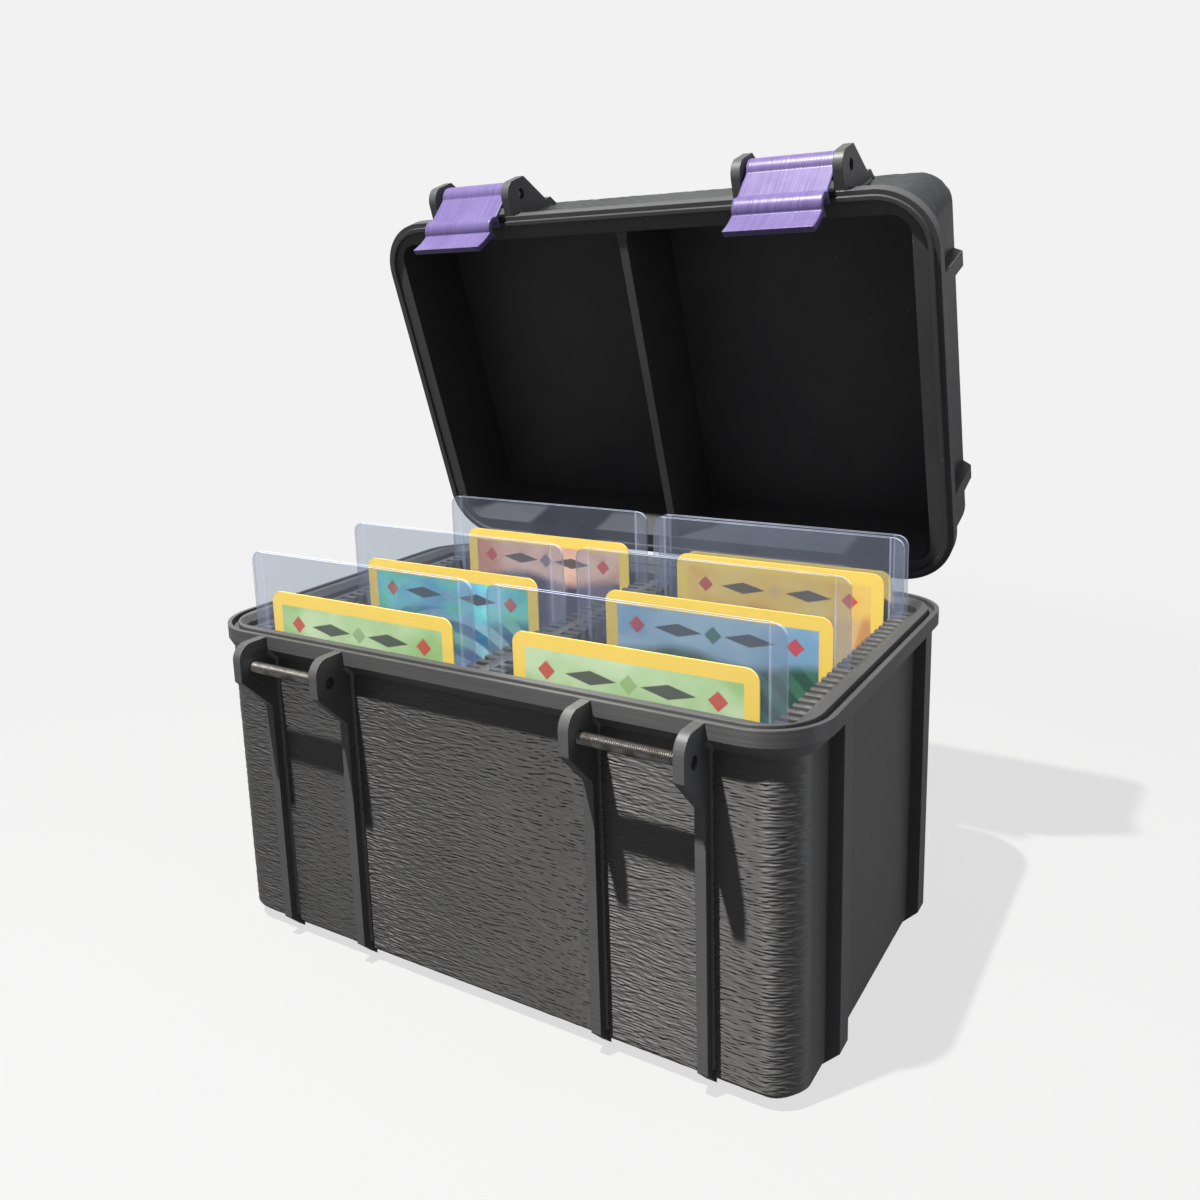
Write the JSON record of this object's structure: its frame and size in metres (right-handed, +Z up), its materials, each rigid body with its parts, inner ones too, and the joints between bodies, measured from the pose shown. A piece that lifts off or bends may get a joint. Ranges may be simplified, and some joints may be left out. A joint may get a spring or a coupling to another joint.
{
  "type": "card storage box",
  "caption": "Hinged-lid box with slotted racks that hold cards upright in rigid clear sleeves; two swinging latches hook over screws at the front.",
  "frame": {"origin": "middle of the flat underside of the base", "axes": "+X to the right, +Y to the hinge side at the back, +Z up; the latches are at -Y"},
  "size_m": [0.1752, 0.1529, 0.2092],
  "materials": {
    "box_plastic": "printed layers, satin",
    "latch_plastic": "silky printed layers",
    "screw_steel": "bright thread",
    "sleeve_clear": "clear rigid sheet",
    "card_front_left": "printed, satin",
    "card_middle_left": "printed, satin",
    "card_back_left": "printed, satin",
    "card_front_right": "printed, satin",
    "card_middle_right": "printed, satin",
    "card_next_right": "printed, satin",
    "card_back_right": "printed, satin"
  },
  "bodies": {
    "base": {"base_shell": "box_plastic", "left_slot_rack": "box_plastic", "right_slot_rack": "box_plastic", "centre_slot_rack": "box_plastic", "catch_screw_left": "screw_steel", "catch_screw_right": "screw_steel", "hinge_screw_left": "screw_steel", "hinge_screw_right": "screw_steel"},
    "lid": {"lid_shell": "box_plastic", "lid_divider": "box_plastic"},
    "latch_pivot_left": {"latch_screw_left": "screw_steel"},
    "latch_arm_left": {"latch_left": "latch_plastic"},
    "latch_pivot_right": {"latch_screw_right": "screw_steel"},
    "latch_arm_right": {"latch_right": "latch_plastic"},
    "stored_front_left": {"sleeve_front_left": "sleeve_clear", "card_front_left": "card_front_left"},
    "stored_middle_left": {"sleeve_middle_left": "sleeve_clear", "card_middle_left": "card_middle_left"},
    "stored_back_left": {"sleeve_back_left": "sleeve_clear", "card_back_left": "card_back_left"},
    "stored_front_right": {"sleeve_front_right": "sleeve_clear", "card_front_right": "card_front_right"},
    "stored_middle_right": {"sleeve_middle_right": "sleeve_clear", "card_middle_right": "card_middle_right"},
    "stored_next_right": {"sleeve_next_right": "sleeve_clear", "card_next_right": "card_next_right"},
    "stored_back_right": {"sleeve_back_right": "sleeve_clear", "card_back_right": "card_back_right"}
  },
  "joints": [
    {"name": "lid_hinge", "type": "hinge", "parent": "base", "child": "lid", "pos_m": [0, 0.0601, 0.086], "axis": [-1, 0, 0], "range_deg": [-72, 23]},
    {"name": "latch_hang_left", "type": "hinge", "parent": "lid", "child": "latch_pivot_left", "pos_m": [0, 0.0313, 0.20392], "axis": [-1, 0, 0], "range_deg": [-16, 46]},
    {"name": "latch_turn_left", "type": "hinge", "parent": "latch_pivot_left", "child": "latch_arm_left", "pos_m": [0, 0.0313, 0.20392], "axis": [-1, 0, 0], "range_deg": [-14.5, 130]},
    {"name": "latch_hang_right", "type": "hinge", "parent": "lid", "child": "latch_pivot_right", "pos_m": [0, 0.0313, 0.20392], "axis": [-1, 0, 0], "range_deg": [-16, 46]},
    {"name": "latch_turn_right", "type": "hinge", "parent": "latch_pivot_right", "child": "latch_arm_right", "pos_m": [0, 0.0313, 0.20392], "axis": [-1, 0, 0], "range_deg": [-14.5, 130]},
    {"name": "lift_front_left", "type": "slide", "parent": "base", "child": "stored_front_left", "axis": [0, 0, 1], "range_m": [0, 0.085]},
    {"name": "lift_middle_left", "type": "slide", "parent": "base", "child": "stored_middle_left", "axis": [0, 0, 1], "range_m": [0, 0.085]},
    {"name": "lift_back_left", "type": "slide", "parent": "base", "child": "stored_back_left", "axis": [0, 0, 1], "range_m": [0, 0.085]},
    {"name": "lift_front_right", "type": "slide", "parent": "base", "child": "stored_front_right", "axis": [0, 0, 1], "range_m": [0, 0.085]},
    {"name": "lift_middle_right", "type": "slide", "parent": "base", "child": "stored_middle_right", "axis": [0, 0, 1], "range_m": [0, 0.085]},
    {"name": "lift_next_right", "type": "slide", "parent": "base", "child": "stored_next_right", "axis": [0, 0, 1], "range_m": [0, 0.085]},
    {"name": "lift_back_right", "type": "slide", "parent": "base", "child": "stored_back_right", "axis": [0, 0, 1], "range_m": [0, 0.085]}
  ],
  "couplings": [
    {"joint": "latch_hang_left", "follows": "lid_hinge", "ratio": -0.59028},
    {"joint": "latch_hang_right", "follows": "lid_hinge", "ratio": -0.59028}
  ]
}
